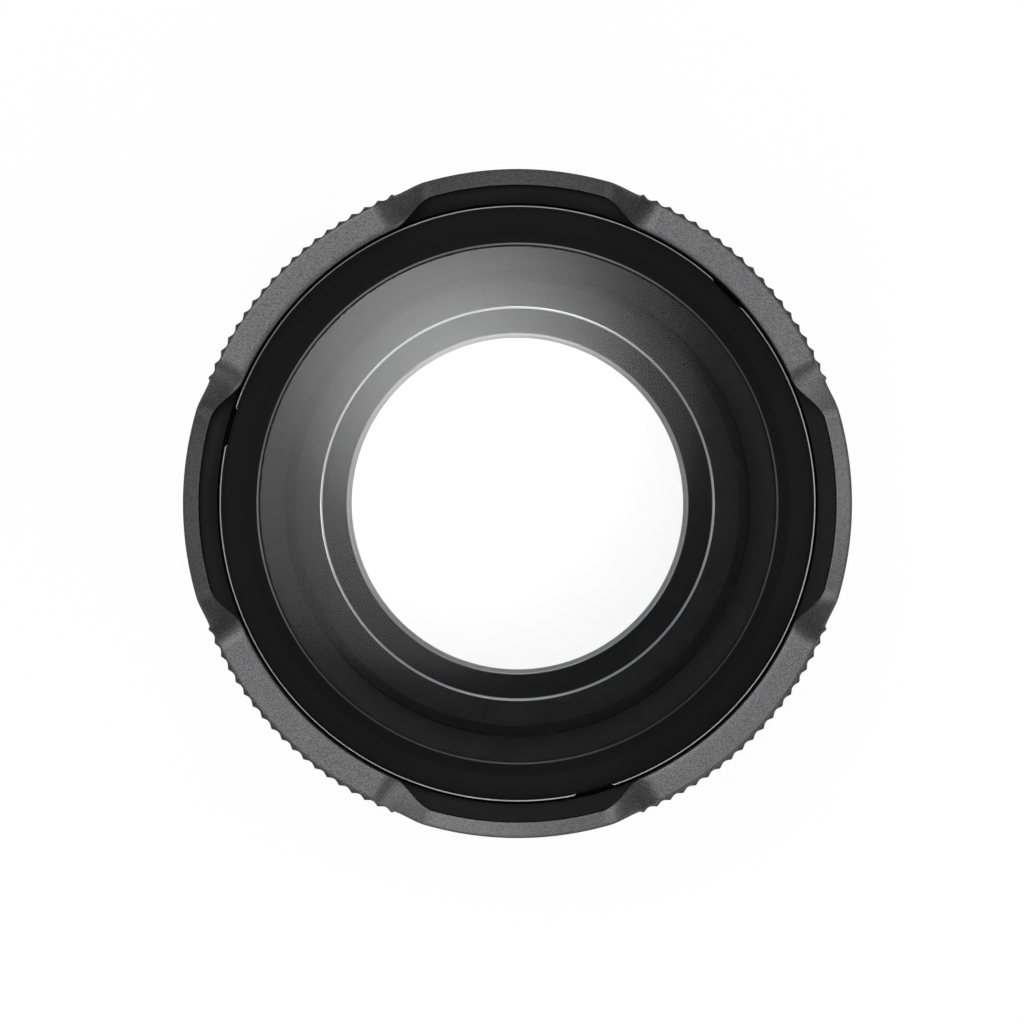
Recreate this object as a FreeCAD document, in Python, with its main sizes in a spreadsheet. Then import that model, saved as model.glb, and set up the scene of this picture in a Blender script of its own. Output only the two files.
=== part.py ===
import FreeCAD, Part
import math
import os

import Sketcher

# A clip-on macro lens. The optical axis is +Z, the front of the lens points up,
# and the origin is the centre of the rear face of the spigot. All sizes are millimetres and degrees.

VECTOR = FreeCAD.Vector
PLACEMENT = FreeCAD.Placement
ROTATION = FreeCAD.Rotation
UP = VECTOR(0, 0, 1)

doc = FreeCAD.newDocument("macro_lens")
sheet = doc.addObject("Spreadsheet::Sheet", "Sizes")


class Size:
    """A length or an angle that keeps the spreadsheet formula it comes from."""

    def __init__(self, value, formula=None):
        self.value = float(value)
        self.formula = formula or repr(float(value))

    def joined(self, other, sign, result):
        return Size(result, "(%s %s %s)" % (self.formula, sign, other.formula))

    def __add__(self, other):
        other = as_size(other)
        return self.joined(other, "+", self.value + other.value)

    def __sub__(self, other):
        other = as_size(other)
        return self.joined(other, "-", self.value - other.value)

    def __mul__(self, other):
        other = as_size(other)
        return self.joined(other, "*", self.value * other.value)

    def __truediv__(self, other):
        other = as_size(other)
        return self.joined(other, "/", self.value / other.value)

    def __rsub__(self, other):
        return as_size(other) - self

    def __neg__(self):
        return Size(-self.value, "(0 - %s)" % self.formula)

    __radd__ = __add__
    __rmul__ = __mul__


def as_size(number):
    return number if isinstance(number, Size) else Size(number)


def cosine(angle):
    angle = as_size(angle)
    return Size(math.cos(math.radians(angle.value)), "cos(%s * 1 deg)" % angle.formula)


def sine(angle):
    angle = as_size(angle)
    return Size(math.sin(math.radians(angle.value)), "sin(%s * 1 deg)" % angle.formula)


def half_chord(radius, offset):
    """The half width of a circle at a distance from its centre."""
    return Size(math.sqrt(radius.value ** 2 - offset.value ** 2),
                "sqrt(%s^2 - %s^2)" % (radius.formula, offset.formula))


def polar(radius, angle):
    return as_size(radius) * cosine(angle), as_size(radius) * sine(angle)


WHOLE_TURN = as_size(360)
RIGHT_ANGLE = WHOLE_TURN / 4
FROM_FRONT = RIGHT_ANGLE - WHOLE_TURN
IN_DEGREES = as_size(math.degrees(1))
SIX = 6
HALF_TURN = PLACEMENT(VECTOR(), ROTATION(UP, (WHOLE_TURN / 2).value))

used_rows = []


def size(name, value):
    """One driving dimension, kept in its own cell of the spreadsheet under its own name."""
    used_rows.append(name)
    row = len(used_rows)
    sheet.set("A%d" % row, name)
    sheet.set("B%d" % row, repr(value))
    sheet.setAlias("B%d" % row, name)
    return Size(value, "Sizes." + name)


# Fits and play
end_play = size("end_play", 0.05)
slide_fit = size("slide_fit", 0.05)
turn_fit = size("turn_fit", 0.06)
seat_fit = size("seat_fit", 0.02)
guide_fit = size("guide_fit", 0.04)
jaw_fit = size("jaw_fit", 0.1)
side_fit = size("side_fit", 0.2)

# How far a cut runs past the stock
past = size("past", 1.0)

# Clip housing and its spigot. The radius of the spigot's nose drives every other radius.
spigot_radius = size("spigot_radius", 17.9)
spigot_length = size("spigot_length", 2.6)
spigot_wall = size("spigot_wall", 2.0)
spigot_relief = size("spigot_relief", 0.4)
nose_length = size("nose_length", 1.0)
undercut_depth = size("undercut_depth", 0.15)
undercut_reach = size("undercut_reach", 0.3)
body_chamfer = size("body_chamfer", 0.5)
floor_thickness = size("floor_thickness", 1.2)
pocket_depth = size("pocket_depth", 2.6)
flange_thickness = size("flange_thickness", 1.6)
rim_wall = size("rim_wall", 0.8)
scoop_depth = size("scoop_depth", 1.2)
scoop_wall = size("scoop_wall", 1.2)

# Clip jaws
jaw_inset = size("jaw_inset", 5.6)
jaw_travel = size("jaw_travel", 1.2)
arm_start = size("arm_start", 7.0)
tab_half_width = size("tab_half_width", 5.1)
tab_reach = size("tab_reach", 0.3)
tab_spaces = size("tab_spaces", 6)
tab_groove_width = size("tab_groove_width", 0.5)
tab_groove_depth = size("tab_groove_depth", 0.25)
hook_half_width = size("hook_half_width", 6.2)
hook_wall = size("hook_wall", 1.5)
hook_drop = size("hook_drop", 0.25)
ridge_rise = size("ridge_rise", 0.5)
ridge_pitch = size("ridge_pitch", 0.75)
ridge_height = size("ridge_height", 0.5)
ridge_crest = size("ridge_crest", 0.12)
ridge_root = size("ridge_root", 0.1)
ridge_count = size("ridge_count", 2)

# Jaw springs and what holds them
post_half_width = size("post_half_width", 1.0)
peg_radius = size("peg_radius", 0.42)
peg_length = size("peg_length", 0.8)
spring_inset = size("spring_inset", 0.7)
coil_radius = size("coil_radius", 0.68)
wire_radius = size("wire_radius", 0.14)
coil_turns = size("coil_turns", 6)
coil_steps = size("coil_steps", 10)
shield_gap = size("shield_gap", 0.3)

# Case screws
screw_edge = size("screw_edge", 1.1)
screw_angle = size("screw_angle", 60)
screw_radius = size("screw_radius", 0.8)
screw_bite = size("screw_bite", 1.4)
head_radius = size("head_radius", 1.2)
head_height = size("head_height", 0.9)
recess_radius = size("recess_radius", 0.6)
recess_depth = size("recess_depth", 0.5)

# Light path and rear lens group, from the middle out
light_inset = size("light_inset", 6.89)
light_room = size("light_room", 2.19)
lip_thickness = size("lip_thickness", 0.6)
lip_width = size("lip_width", 0.34)
foot_thickness = size("foot_thickness", 1.0)
rear_lens_land = size("rear_lens_land", 1.09)
rear_lens_edge = size("rear_lens_edge", 1.6)
rear_lens_curve = size("rear_lens_curve", 60.0)
rear_dome_inset = size("rear_dome_inset", 0.86)
retainer_width = size("retainer_width", 1.51)
retainer_height = size("retainer_height", 2.0)
retainer_fall = size("retainer_fall", 0.8)
baffle_seat = size("baffle_seat", 3.3)
baffle_flat = size("baffle_flat", 1.84)
baffle_bevel = size("baffle_bevel", 0.62)
baffle_height = size("baffle_height", 1.5)
baffle_bevel_drop = size("baffle_bevel_drop", 0.55)
baffle_chamfer = size("baffle_chamfer", 0.15)
baffle_gap = size("baffle_gap", 0.13)
key_count = size("key_count", 6)
key_half_angle = size("key_half_angle", 8.75)
key_first_angle = size("key_first_angle", 30)
key_reach = size("key_reach", 0.35)
key_corner = size("key_corner", 0.55)

# Front cell, front lens and bezel
rest_gap = size("rest_gap", 0.2)
cell_wall = size("cell_wall", 2.2)
cell_rear_gap = size("cell_rear_gap", 1.0)
cell_cone_start = size("cell_cone_start", 3.6)
cell_cone_width = size("cell_cone_width", 1.56)
cell_flange_inset = size("cell_flange_inset", 0.32)
cell_flange_thickness = size("cell_flange_thickness", 0.75)
front_lens_land = size("front_lens_land", 0.39)
front_lens_edge = size("front_lens_edge", 1.0)
front_lens_curve = size("front_lens_curve", 80.0)
bezel_edge = size("bezel_edge", 0.12)
bezel_facet = size("bezel_facet", 0.77)
bezel_band = size("bezel_band", 1.43)
bezel_lip = size("bezel_lip", 0.7)
bezel_edge_drop = size("bezel_edge_drop", 0.3)
rim_width = size("rim_width", 0.27)
rim_height = size("rim_height", 0.3)
notch_count = size("notch_count", 3)
notch_half_angle = size("notch_half_angle", 3.65)
notch_depth = size("notch_depth", 0.15)

# Fixed barrel
barrel_wall = size("barrel_wall", 0.6)
flange_ledge = size("flange_ledge", 3.1)
retainer_thickness = size("retainer_thickness", 0.6)
spanner_width = size("spanner_width", 1.2)
spanner_depth = size("spanner_depth", 0.5)
washer_edge = size("washer_edge", 0.74)
washer_thickness = size("washer_thickness", 0.2)

# Focus sleeve and its cam grooves
bezel_gap = size("bezel_gap", 0.13)
crown_wall = size("crown_wall", 1.19)
shelf_height = size("shelf_height", 9.75)
ledge_height = size("ledge_height", 2.4)
pin_count = size("pin_count", 3)
pin_angle = size("pin_angle", 285)
pin_rise = size("pin_rise", 4.0)
pin_radius = size("pin_radius", 0.5)
pin_depth = size("pin_depth", 1.4)
roller_radius = size("roller_radius", 0.93)
groove_depth = size("groove_depth", 1.14)
cell_travel = size("cell_travel", 3.0)
turn_range = size("turn_range", 90)

# Focus ring
ring_gap = size("ring_gap", 0.3)
ring_wall = size("ring_wall", 1.06)
body_overhang = size("body_overhang", 0.56)
lobe_half_angle = size("lobe_half_angle", 16)
lobe_end_fall = size("lobe_end_fall", 0.23)
lobe_end_angle = size("lobe_end_angle", 21.6)
lobe_drop = size("lobe_drop", 2.0)
lobe_tilt = size("lobe_tilt", 33)
lobe_cut_width = size("lobe_cut_width", 8.0)
slope_foot_angle = size("slope_foot_angle", 17.2)
slope_angle = size("slope_angle", 41)
pad_height = size("pad_height", 3.2)
pad_bevel = size("pad_bevel", 0.08)
knurl_inset = size("knurl_inset", 0.09)
knurl_depth = size("knurl_depth", 0.18)
knurl_foot = size("knurl_foot", 0.03)
knurl_pitch = size("knurl_pitch", 2.53)
knurl_ribs = size("knurl_ribs", 19)
knurl_shoulder = size("knurl_shoulder", 0.55)
knurl_margin = size("knurl_margin", 1.1)
knurl_flare = size("knurl_flare", 1.25)
pad_step_angle = size("pad_step_angle", 0.2)
pad_count = size("pad_count", 4)
window_flat = size("window_flat", 15.2)
window_middle = size("window_middle", 19.6)
window_end = size("window_end", 24.0)
window_sweep = size("window_sweep", 2.5)

# Radii of the rear lens group
clear_radius = spigot_radius - light_inset
retainer_bore = clear_radius + lip_width
retainer_outer = retainer_bore + retainer_width
rear_lens_radius = clear_radius + rear_lens_land
rear_dome_radius = rear_lens_radius - rear_dome_inset
baffle_bevel_start = retainer_outer + baffle_flat
baffle_radius = baffle_bevel_start + baffle_bevel
key_inner = retainer_outer + key_reach

# Radii of the front group
cell_bore = baffle_radius + baffle_gap
cell_radius = cell_bore + cell_wall
cell_mouth = cell_bore + cell_cone_width
front_lens_radius = cell_mouth + front_lens_land
bezel_bore = cell_mouth + seat_fit
bezel_edge_radius = bezel_bore + bezel_edge
bezel_facet_radius = bezel_edge_radius + bezel_facet
rim_radius = bezel_facet_radius + bezel_band
bezel_radius = rim_radius + rim_width
cell_flange_radius = bezel_radius - cell_flange_inset
key_outer = cell_bore - guide_fit

# Radii of the barrel, the sleeve and the focus ring
barrel_bore = cell_radius + slide_fit
barrel_radius = barrel_bore + barrel_wall
sleeve_bore = barrel_radius + turn_fit
groove_floor = sleeve_bore + groove_depth
crown_bore = bezel_radius + bezel_gap
sleeve_radius = crown_bore + crown_wall
retainer_radius = bezel_radius - seat_fit
washer_bore = barrel_radius + side_fit
washer_radius = sleeve_radius - washer_edge
flange_bore = barrel_bore - flange_ledge
lobe_radius = sleeve_radius + ring_wall
lobe_end_radius = lobe_radius - lobe_end_fall
knurl_radius = lobe_radius - knurl_inset
knurl_valley = knurl_radius - knurl_depth
pad_rim_radius = knurl_valley - knurl_foot
pad_face_radius = pad_rim_radius - pad_bevel
groove_half_width = roller_radius + guide_fit
slope_foot = pad_face_radius * sine(slope_foot_angle)

# Radii and widths of the clip
body_radius = sleeve_radius + body_overhang
body_bore = clear_radius + light_room
jaw_bore = body_bore + side_fit
flange_radius = body_radius - rim_wall
scoop_distance = body_radius - scoop_depth
scoop_inner = scoop_distance - scoop_wall
jaw_half_width = flange_radius - jaw_inset
pocket_half_width = jaw_half_width + side_fit
spring_place = jaw_half_width - spring_inset
screw_circle = flange_radius - screw_edge
tab_radius = body_radius + tab_reach
relief_radius = spigot_radius - spigot_relief
hook_radius = spigot_radius - hook_drop
ridge_radius = spigot_radius + ridge_rise

# Levels along the axis, from the rear to the front
seat_level = spigot_length
floor_level = seat_level + floor_thickness
flange_level = floor_level + pocket_depth
body_level = flange_level + flange_thickness
washer_level = body_level + washer_thickness
sleeve_level = washer_level + end_play
shelf_level = sleeve_level + shelf_height
barrel_level = shelf_level + end_play
retainer_level = barrel_level + retainer_thickness
ledge_level = shelf_level + ledge_height
ring_level = body_level + ring_gap
pad_level = ledge_level + pad_height
pin_height = body_level + pin_rise
cell_flange_level = retainer_level + rest_gap
cell_level = cell_flange_level + cell_flange_thickness
cell_rear_level = body_level + foot_thickness + cell_rear_gap
lens_edge_level = cell_level + front_lens_edge
bezel_level = lens_edge_level + bezel_lip
lens_seat_level = body_level + lip_thickness
retainer_seat_level = lens_seat_level + rear_lens_edge
baffle_level = lens_seat_level + baffle_seat
baffle_top_level = baffle_level + baffle_height
spring_level = floor_level + pocket_depth / 2
hook_level = nose_length + jaw_fit


def plane_of(body, role):
    return next(feature for feature in body.Origin.OriginFeatures if feature.Role == role)


def new_body(label):
    body = doc.addObject("PartDesign::Body", label)
    body.Label = label
    return body


def new_sketch(body, name, role="XY_Plane", level=None, turned=None, out=0):
    """A sketch on an origin plane of its own body, raised to a level or turned about its upright."""
    sketch = body.newObject("Sketcher::SketchObject", body.Label + "_" + name)
    sketch.AttachmentSupport = [(plane_of(body, role), "")]
    sketch.MapMode = "FlatFace"
    if level is not None:
        level = as_size(level)
        sketch.AttachmentOffset = PLACEMENT(VECTOR(0, 0, level.value), ROTATION())
        sketch.setExpression("AttachmentOffset.Base.z", level.formula)
    if turned is not None:
        across, along = as_size(out) * sine(turned), as_size(out) * cosine(turned)
        sketch.AttachmentOffset = PLACEMENT(VECTOR(across.value, 0, along.value),
                                            ROTATION(VECTOR(0, 1, 0), turned.value))
        sketch.setExpression("AttachmentOffset.Base.x", across.formula)
        sketch.setExpression("AttachmentOffset.Base.z", along.formula)
        sketch.setExpression("AttachmentOffset.Rotation.Angle", turned.formula)
    return sketch


def pin_down(sketch, geometry, end, point):
    """Constrain one end of a curve to the place that the spreadsheet gives."""
    for kind, axis, coordinate in (("DistanceX", -2, point[0]), ("DistanceY", -1, point[1])):
        coordinate = as_size(coordinate)
        if coordinate.formula == "0.0":
            sketch.addConstraint(Sketcher.Constraint("PointOnObject", geometry, end, axis))
            continue
        index = sketch.addConstraint(
            Sketcher.Constraint(kind, -1, 1, geometry, end, coordinate.value))
        if "Sizes." in coordinate.formula:
            sketch.setExpression("Constraints[%d]" % index, coordinate.formula)


def arc_between(start, end, radius, bend):
    """The short arc between two points. A bend of 1 goes round anticlockwise, -1 clockwise."""
    chord = end - start
    reach = math.sqrt(radius ** 2 - (chord.Length / 2) ** 2)
    side = VECTOR(-chord.y, chord.x, 0).normalize() * reach * bend
    centre = (start + end) * 0.5 + side
    angles = [math.atan2(p.y - centre.y, p.x - centre.x) for p in (start, end)]
    if bend < 0:
        angles.reverse()
    return Part.ArcOfCircle(Part.Circle(centre, UP, radius), angles[0], angles[1])


def draw_outline(sketch, points, arcs=None):
    """A closed outline. arcs gives the radius and the bend of each side that isn't straight."""
    arcs = arcs or {}
    places = [VECTOR(as_size(x).value, as_size(y).value, 0) for x, y in points]
    first_ends, last_ends, round_sides = [], [], []
    for side, start in enumerate(places):
        end = places[(side + 1) % len(places)]
        if side in arcs:
            radius, bend = arcs[side]
            geometry = sketch.addGeometry(arc_between(start, end, radius.value, bend), False)
            round_sides.append((geometry, radius))
            first_ends.append((geometry, 1 if bend > 0 else 2))
            last_ends.append((geometry, 2 if bend > 0 else 1))
        else:
            geometry = sketch.addGeometry(Part.LineSegment(start, end), False)
            first_ends.append((geometry, 1))
            last_ends.append((geometry, 2))
    for side, (geometry, end) in enumerate(first_ends):
        before, before_end = last_ends[side - 1]
        sketch.addConstraint(Sketcher.Constraint("Coincident", before, before_end, geometry, end))
        pin_down(sketch, geometry, end, points[side])
    for geometry, radius in round_sides:
        index = sketch.addConstraint(Sketcher.Constraint("Radius", geometry, radius.value))
        sketch.setExpression("Constraints[%d]" % index, radius.formula)


def draw_circle(sketch, centre, radius):
    place = VECTOR(as_size(centre[0]).value, as_size(centre[1]).value, 0)
    geometry = sketch.addGeometry(Part.Circle(place, UP, radius.value), False)
    if place.Length == 0:
        sketch.addConstraint(Sketcher.Constraint("Coincident", geometry, 3, -1, 1))
    else:
        pin_down(sketch, geometry, 3, centre)
    index = sketch.addConstraint(Sketcher.Constraint("Radius", geometry, radius.value))
    sketch.setExpression("Constraints[%d]" % index, radius.formula)


def draw_box(sketch, low_x, high_x, low_y, high_y):
    draw_outline(sketch, [(low_x, low_y), (high_x, low_y), (high_x, high_y), (low_x, high_y)])


def turned_round(body, name, profile, cut=False, angle=None, arcs=None):
    """Revolve a profile of radii and heights about the optical axis, or cut it away."""
    sketch = new_sketch(body, name + "_profile", "XZ_Plane")
    draw_outline(sketch, profile, arcs)
    feature = body.newObject("PartDesign::Groove" if cut else "PartDesign::Revolution",
                             body.Label + "_" + name)
    feature.Profile = sketch
    feature.ReferenceAxis = (sketch, ["V_Axis"])
    feature.Angle = WHOLE_TURN.value
    if angle is not None:
        feature.Midplane = True
        feature.Angle = angle.value
        feature.setExpression("Angle", angle.formula)
    before = body.Shape.Volume if cut else 0
    body.Tip = feature
    doc.recompute()
    if cut and body.Shape.Volume >= before:
        raise RuntimeError(body.Label + ": " + name + " cuts nothing")
    return feature


def raised(body, name, sketch, length, backwards=False, both_ways=False):
    return pulled("PartDesign::Pad", body, name, sketch, length, backwards, both_ways)


def cut_up(body, name, sketch, length, both_ways=False):
    """A pocket that goes from its sketch towards the sketch's own front."""
    before = body.Shape.Volume
    feature = pulled("PartDesign::Pocket", body, name, sketch, length, True, both_ways)
    if body.Shape.Volume >= before:
        raise RuntimeError(body.Label + ": " + name + " cuts nothing")
    return feature


def pulled(kind, body, name, sketch, length, backwards, both_ways):
    feature = body.newObject(kind, body.Label + "_" + name)
    feature.Profile = sketch
    feature.Reversed = backwards
    if both_ways:
        feature.SideType = "Symmetric"
    length = as_size(length)
    feature.Length = length.value
    if "Sizes." in length.formula:
        feature.setExpression("Length", length.formula)
    body.Tip = feature
    doc.recompute()
    return feature


def round_pattern(body, name, count, angle):
    """An even row of copies round the optical axis."""
    pattern = body.newObject("PartDesign::PolarPattern", body.Label + "_" + name)
    pattern.Axis = (plane_of(body, "Z_Axis"), [""])
    pattern.Angle = angle.value
    if "Sizes." in angle.formula:
        pattern.setExpression("Angle", angle.formula)
    pattern.Occurrences = int(count.value)
    pattern.setExpression("Occurrences", count.formula)
    return pattern


def repeated(body, name, features, count):
    """Copies of features over a whole turn."""
    pattern = round_pattern(body, name, count, WHOLE_TURN)
    pattern.Originals = features
    body.Tip = pattern
    doc.recompute()
    return pattern


def flatted_disc(sketch, radius, flat):
    """A disc with two flats across X."""
    rise = half_chord(radius, flat)
    draw_outline(sketch, [(flat, -rise), (flat, rise), (-flat, rise), (-flat, -rise)],
                 {1: (radius, 1), 3: (radius, 1)})


def four_ways(radius, angle):
    x, y = polar(radius, angle)
    return [(x, y), (-x, y), (-x, -y), (x, -y)]


def make_clip_body():
    """The housing of the clip: spigot, floor, jaw pocket, spring shields and recess for the barrel."""
    body = new_body("clip_body")
    spigot_inner = spigot_radius - spigot_wall
    undercut_radius = spigot_radius + undercut_reach
    undercut_level = seat_level + undercut_depth
    turned_round(body, "blank", [
        (spigot_inner, 0), (spigot_radius, 0), (spigot_radius, nose_length),
        (relief_radius, nose_length), (relief_radius, undercut_level),
        (undercut_radius, undercut_level), (undercut_radius, seat_level),
        (body_radius - body_chamfer, seat_level), (body_radius, seat_level + body_chamfer),
        (body_radius, body_level), (body_bore, body_level), (body_bore, seat_level),
        (spigot_inner, seat_level)])

    recess = new_sketch(body, "recess_outline", level=flange_level)
    flatted_disc(recess, flange_radius, scoop_inner)
    cut_up(body, "recess", recess, flange_thickness + past)

    pocket = new_sketch(body, "pocket_outline", level=floor_level)
    rise = half_chord(flange_radius, scoop_inner)
    run = half_chord(flange_radius, pocket_half_width)
    draw_outline(pocket, [
        (scoop_inner, -rise), (scoop_inner, rise), (run, pocket_half_width),
        (-run, pocket_half_width), (-scoop_inner, rise), (-scoop_inner, -rise),
        (-run, -pocket_half_width), (run, -pocket_half_width)],
        {1: (flange_radius, 1), 3: (flange_radius, 1), 5: (flange_radius, 1), 7: (flange_radius, 1)})
    cut_up(body, "pocket", pocket, pocket_depth)

    scoops = new_sketch(body, "scoop_outline", level=seat_level)
    beyond = body_radius + past
    for side in (1, -1):
        draw_box(scoops, scoop_distance * side, beyond * side, -body_bore, body_bore)
    cut_up(body, "scoops", scoops, body_level)

    windows = new_sketch(body, "hook_window_outline", level=nose_length)
    half_width = hook_half_width + side_fit
    near = half_chord(body_bore, half_width) - jaw_travel
    for side in (1, -1):
        draw_box(windows, near * side, (ridge_radius + side_fit) * side, -half_width, half_width)
    cut_up(body, "hook_windows", windows, floor_level - nose_length)

    tab_windows = new_sketch(body, "tab_window_outline", level=floor_level)
    half_width = tab_half_width + side_fit
    for side in (1, -1):
        draw_box(tab_windows, (scoop_inner - past) * side, beyond * side, -half_width, half_width)
    cut_up(body, "tab_windows", tab_windows, pocket_depth)

    shields = new_sketch(body, "shield_outline", level=floor_level)
    face = spring_place - coil_radius - wire_radius - slide_fit
    end = arm_start - jaw_travel - shield_gap
    start = half_chord(body_bore, end)
    for side in (1, -1):
        draw_outline(shields, [(-end, start * side), (end, start * side), (end, face * side),
                               (-end, face * side)], {0: (body_bore, -side)})
    raised(body, "shields", shields, pocket_depth - jaw_fit)

    posts = new_sketch(body, "post_outline", level=floor_level)
    inner = body_bore + side_fit
    for side in (1, -1):
        draw_box(posts, -post_half_width, post_half_width, inner * side, (pocket_half_width + past) * side)
    raised(body, "posts", posts, pocket_depth - jaw_fit)

    pegs = new_sketch(body, "peg_outline", role="YZ_Plane")
    for side in (1, -1):
        draw_circle(pegs, (spring_place * side, spring_level), peg_radius)
    raised(body, "pegs", pegs, (post_half_width + peg_length) * 2, both_ways=True)

    heads = new_sketch(body, "head_outline", level=seat_level)
    shanks = new_sketch(body, "shank_outline", level=seat_level)
    for place in four_ways(screw_circle, screw_angle):
        draw_circle(heads, place, head_radius + slide_fit)
        draw_circle(shanks, place, screw_radius + jaw_fit)
    cut_up(body, "head_seats", heads, head_height)
    cut_up(body, "shank_holes", shanks, floor_thickness + pocket_depth)
    return body


def make_case_screw(number, place):
    """A flat-headed screw with a hexagonal recess, its head in the rear of the housing."""
    body = new_body("case_screw_%d" % number)
    tip = head_height + (flange_level - seat_level - head_height) + screw_bite
    turned_round(body, "blank", [
        (0, 0), (head_radius, 0), (head_radius, head_height), (screw_radius, head_height),
        (screw_radius, tip), (0, tip)])
    recess = new_sketch(body, "recess_outline", level=0)
    draw_outline(recess, [polar(recess_radius, corner * WHOLE_TURN / SIX) for corner in range(SIX)])
    cut_up(body, "recess", recess, recess_depth)
    x, y = place
    body.Placement = PLACEMENT(VECTOR(x.value, y.value, seat_level.value), ROTATION())
    body.setExpression("Placement.Base.x", x.formula)
    body.setExpression("Placement.Base.y", y.formula)
    body.setExpression("Placement.Base.z", seat_level.formula)
    return body


def make_clip_jaw(label, turned_half):
    """A sliding jaw: a plate round the light path, a finger tab and a hook with thread ridges."""
    body = new_body(label)
    low, high = floor_level + jaw_fit, flange_level - jaw_fit
    outer = flange_radius - side_fit
    flat = scoop_inner - jaw_fit

    plate = new_sketch(body, "plate_outline", level=low)
    rise = half_chord(outer, flat)
    run = half_chord(outer, jaw_half_width)
    inner_rise = half_chord(jaw_bore, arm_start)
    draw_outline(plate, [
        (arm_start, -jaw_half_width), (run, -jaw_half_width), (flat, -rise), (flat, rise),
        (run, jaw_half_width), (arm_start, jaw_half_width), (arm_start, inner_rise),
        (arm_start, -inner_rise)],
        {1: (outer, 1), 3: (outer, 1), 6: (jaw_bore, -1)})
    raised(body, "plate", plate, high - low)

    tab = new_sketch(body, "tab_outline", level=low)
    reach = half_chord(tab_radius, tab_half_width)
    start = flat - past
    draw_outline(tab, [(start, -tab_half_width), (reach, -tab_half_width), (reach, tab_half_width),
                       (start, tab_half_width)], {1: (tab_radius, 1)})
    raised(body, "tab", tab, high - low)

    grooves = new_sketch(body, "tab_groove_outline", level=low)
    pitch = tab_half_width * 2 / tab_spaces
    for number in range(1, int(tab_spaces.value)):
        middle = pitch * number - tab_half_width
        bottom = half_chord(tab_radius, middle) - tab_groove_depth
        draw_box(grooves, bottom, tab_radius + past, middle - tab_groove_width / 2,
                 middle + tab_groove_width / 2)
    cut_up(body, "tab_grooves", grooves, high - low)

    hook = new_sketch(body, "hook_outline", level=hook_level)
    hook_inner = hook_radius - hook_wall
    draw_outline(hook, [
        (half_chord(hook_inner, hook_half_width), -hook_half_width),
        (half_chord(hook_radius, hook_half_width), -hook_half_width),
        (half_chord(hook_radius, hook_half_width), hook_half_width),
        (half_chord(hook_inner, hook_half_width), hook_half_width)],
        {1: (hook_radius, 1), 3: (hook_inner, -1)})
    raised(body, "hook", hook, low - hook_level)

    sweep = Size(2 * math.degrees(math.asin(hook_half_width.value / ridge_radius.value)),
                 "2 * asin(%s / %s)" % (hook_half_width.formula, ridge_radius.formula))
    root = hook_radius - ridge_root
    for number in range(int(ridge_count.value)):
        middle = hook_level + ridge_height / 2 + ridge_pitch * number
        turned_round(body, "ridge_%d" % number, [
            (root, middle - ridge_height / 2), (ridge_radius, middle - ridge_crest / 2),
            (ridge_radius, middle + ridge_crest / 2), (root, middle + ridge_height / 2)], angle=sweep)

    pegs = new_sketch(body, "peg_outline", role="YZ_Plane", level=arm_start - peg_length)
    for side in (1, -1):
        draw_circle(pegs, (spring_place * side, spring_level), peg_radius)
    raised(body, "pegs", pegs, peg_length * 2)

    if turned_half:
        body.Placement = HALF_TURN
    return body


def make_spring(label, side_x, side_y):
    """A coil spring between a post of the housing and the arm of a jaw. Its wire is six-sided."""
    length = arm_start.value - post_half_width.value
    turns = int(coil_turns.value)
    steps = int(coil_steps.value)
    wire = wire_radius.value
    coil = coil_radius.value
    pitch = (length - 2 * wire) / turns
    points = []
    for step in range(turns * steps + 1):
        angle = 2 * math.pi * step / steps
        points.append(VECTOR(wire + pitch * step / steps, coil * math.cos(angle), coil * math.sin(angle)))
    path = Part.makePolygon(points)
    corners = [2 * math.pi * corner / SIX for corner in range(SIX + 1)]
    section = Part.makePolygon([
        points[0] + VECTOR(wire * math.sin(turn), wire * math.cos(turn), 0) for turn in corners])
    spring = doc.addObject("Part::Feature", label)
    spring.Label = label
    spring.Shape = path.makePipeShell([section], True, False, 1)
    place = VECTOR(side_x * post_half_width.value, side_y * spring_place.value, spring_level.value)
    spring.Placement = PLACEMENT(place, ROTATION() if side_x > 0 else HALF_TURN.Rotation)
    return spring


def make_barrel():
    """The fixed barrel: a flange in the housing, a thin tube and three straight slots."""
    body = new_body("barrel")
    edge = flange_radius - side_fit
    turned_round(body, "blank", [
        (flange_bore, flange_level), (edge, flange_level), (edge, body_level),
        (barrel_radius, body_level), (barrel_radius, barrel_level), (barrel_bore, barrel_level),
        (barrel_bore, body_level), (flange_bore, body_level)])
    flats = new_sketch(body, "flat_outline", level=flange_level)
    for side in (1, -1):
        draw_box(flats, (scoop_inner - side_fit) * side, (edge + past) * side, -edge, edge)
    cut_up(body, "flats", flats, flange_thickness)
    holes = new_sketch(body, "screw_hole_outline", level=flange_level)
    for place in four_ways(screw_circle, screw_angle):
        draw_circle(holes, place, screw_radius + seat_fit)
    cut_up(body, "screw_holes", holes, flange_thickness)
    slot = new_sketch(body, "slot_outline", "XZ_Plane", turned=pin_angle + FROM_FRONT)
    top = pin_height + cell_travel
    half = groove_half_width
    draw_outline(slot, [(-half, pin_height), (0, pin_height - half), (half, pin_height),
                        (half, top), (0, top + half), (-half, top)],
                 {0: (half, 1), 1: (half, 1), 3: (half, 1), 4: (half, 1)})
    cut = cut_up(body, "slot", slot, barrel_radius + past)
    repeated(body, "slots", [cut], pin_count)
    return body


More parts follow.
